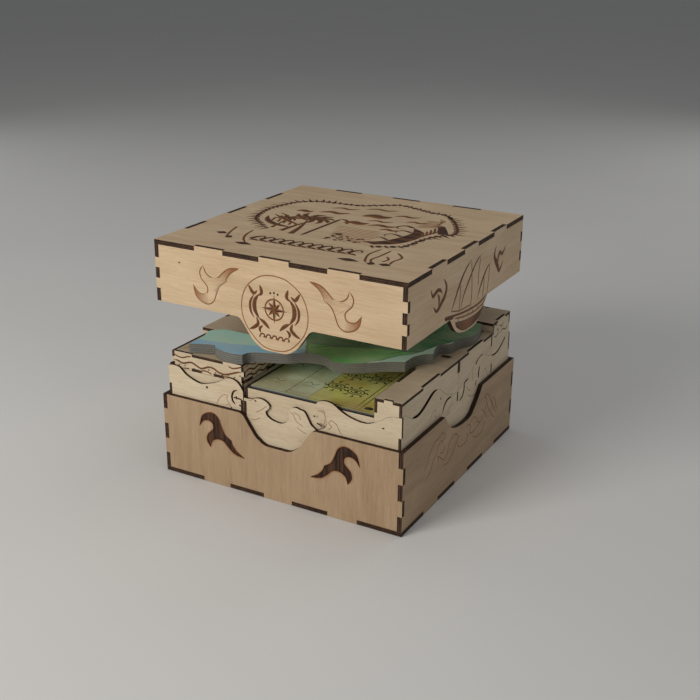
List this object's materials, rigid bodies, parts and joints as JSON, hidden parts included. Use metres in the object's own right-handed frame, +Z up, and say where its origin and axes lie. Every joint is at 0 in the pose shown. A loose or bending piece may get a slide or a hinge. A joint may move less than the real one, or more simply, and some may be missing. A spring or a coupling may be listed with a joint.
{
  "type": "board game box insert organizer",
  "caption": "Square plywood game box with a lift-off lid, wave-cut inner trays, loose token boxes and stacked printed boards.",
  "frame": {"origin": "middle of the base's underside, on the surface that the box stands on", "axes": "+Z up, +X to the right of the front wall, which has the badge notch and faces -Y; +Y to the rear"},
  "size_m": [0.3, 0.3, 0.273],
  "materials": {
    "base_ply": "laser-cut plywood, matt, tan",
    "lid_ply": "laser-cut birch plywood, matt, pale",
    "insert_ply": "thin laser-cut birch plywood, matt, pale",
    "printed_board": "printed board, satin, pale green and yellow-green",
    "island_print": "printed board, satin, sea colours on the face and grey card on the edge"
  },
  "bodies": {
    "base": {"base_floor": "base_ply", "base_front_wall": "base_ply", "base_rear_wall": "base_ply", "base_left_wall": "base_ply", "base_right_wall": "base_ply"},
    "lid": {"lid_top": "lid_ply", "lid_front_wall": "lid_ply", "lid_rear_wall": "lid_ply", "lid_left_wall": "lid_ply", "lid_right_wall": "lid_ply"},
    "left_tray": {"left_tray_floor": "insert_ply", "left_tray_front_wall": "insert_ply", "left_tray_rear_wall": "insert_ply", "left_tray_left_wall": "insert_ply", "left_tray_right_wall": "insert_ply", "left_tray_front_liner": "insert_ply", "left_tray_divider": "insert_ply"},
    "right_tray": {"right_tray_floor": "insert_ply", "right_tray_front_wall": "insert_ply", "right_tray_rear_wall": "insert_ply", "right_tray_left_wall": "insert_ply", "right_tray_right_wall": "insert_ply", "board_bay_front_wall": "insert_ply", "board_bay_floor": "insert_ply", "slim_partition": "insert_ply", "rear_divider": "insert_ply", "slim_divider": "insert_ply"},
    "player_board_1": {"player_board_1": "printed_board"},
    "player_board_2": {"player_board_2": "printed_board"},
    "strata_box": {"strata_box_floor": "insert_ply", "strata_box_front_wall": "insert_ply", "strata_box_rear_wall": "insert_ply", "strata_box_left_wall": "insert_ply", "strata_box_right_wall": "insert_ply"},
    "strata_lid": {"strata_box_lid": "insert_ply"},
    "left_box": {"left_box_top": "insert_ply", "left_box_front_wall": "insert_ply", "left_box_rear_wall": "insert_ply", "left_box_left_wall": "insert_ply", "left_box_right_wall": "insert_ply"},
    "slim_front_box": {"slim_front_box_top": "insert_ply", "slim_front_box_front_wall": "insert_ply", "slim_front_box_rear_wall": "insert_ply", "slim_front_box_left_wall": "insert_ply", "slim_front_box_right_wall": "insert_ply"},
    "slim_rear_box": {"slim_rear_box_top": "insert_ply", "slim_rear_box_front_wall": "insert_ply", "slim_rear_box_rear_wall": "insert_ply", "slim_rear_box_left_wall": "insert_ply", "slim_rear_box_right_wall": "insert_ply"},
    "rear_box": {"rear_box_top": "insert_ply", "rear_box_front_wall": "insert_ply", "rear_box_rear_wall": "insert_ply", "rear_box_left_wall": "insert_ply", "rear_box_right_wall": "insert_ply"},
    "island_board_1": {"island_board_1": "island_print"},
    "island_board_2": {"island_board_2": "island_print"},
    "island_board_3": {"island_board_3": "island_print"},
    "island_board_4": {"island_board_4": "island_print"},
    "island_board_5": {"island_board_5": "island_print"}
  },
  "joints": [
    {"name": "lid_lift", "type": "slide", "parent": "base", "child": "lid", "axis": [0, 0, 1], "range_m": [-0.1097, 0.35]},
    {"name": "left_tray_lift", "type": "slide", "parent": "base", "child": "left_tray", "axis": [0, 0, 1], "range_m": [0, 0.095]},
    {"name": "right_tray_lift", "type": "slide", "parent": "left_tray", "child": "right_tray", "axis": [0, 0, 1], "range_m": [0, 0.095]},
    {"name": "player_board_1_lift", "type": "slide", "parent": "right_tray", "child": "player_board_1", "axis": [0, 0, 1], "range_m": [0, 0.012]},
    {"name": "player_board_2_lift", "type": "slide", "parent": "player_board_1", "child": "player_board_2", "axis": [0, 0, 1], "range_m": [0, 0.012]},
    {"name": "strata_box_lift", "type": "slide", "parent": "player_board_2", "child": "strata_box", "axis": [0, 0, 1], "range_m": [0, 0.03]},
    {"name": "strata_lid_lift", "type": "slide", "parent": "strata_box", "child": "strata_lid", "axis": [0, 0, 1], "range_m": [0, 0.02]},
    {"name": "left_box_lift", "type": "slide", "parent": "strata_lid", "child": "left_box", "axis": [0, 0, 1], "range_m": [0, 0.035]},
    {"name": "slim_front_box_lift", "type": "slide", "parent": "left_box", "child": "slim_front_box", "axis": [0, 0, 1], "range_m": [0, 0.035]},
    {"name": "slim_rear_box_lift", "type": "slide", "parent": "slim_front_box", "child": "slim_rear_box", "axis": [0, 0, 1], "range_m": [0, 0.035]},
    {"name": "rear_box_lift", "type": "slide", "parent": "slim_rear_box", "child": "rear_box", "axis": [0, 0, 1], "range_m": [0, 0.045]},
    {"name": "island_board_1_lift", "type": "slide", "parent": "rear_box", "child": "island_board_1", "axis": [0, 0, 1], "range_m": [0, 0.01]},
    {"name": "island_board_2_lift", "type": "slide", "parent": "island_board_1", "child": "island_board_2", "axis": [0, 0, 1], "range_m": [0, 0.006]},
    {"name": "island_board_3_lift", "type": "slide", "parent": "island_board_2", "child": "island_board_3", "axis": [0, 0, 1], "range_m": [0, 0.006]},
    {"name": "island_board_4_lift", "type": "slide", "parent": "island_board_3", "child": "island_board_4", "axis": [0, 0, 1], "range_m": [0, 0.006]},
    {"name": "island_board_5_lift", "type": "slide", "parent": "island_board_4", "child": "island_board_5", "axis": [0, 0, 1], "range_m": [0, 0.006]}
  ]
}
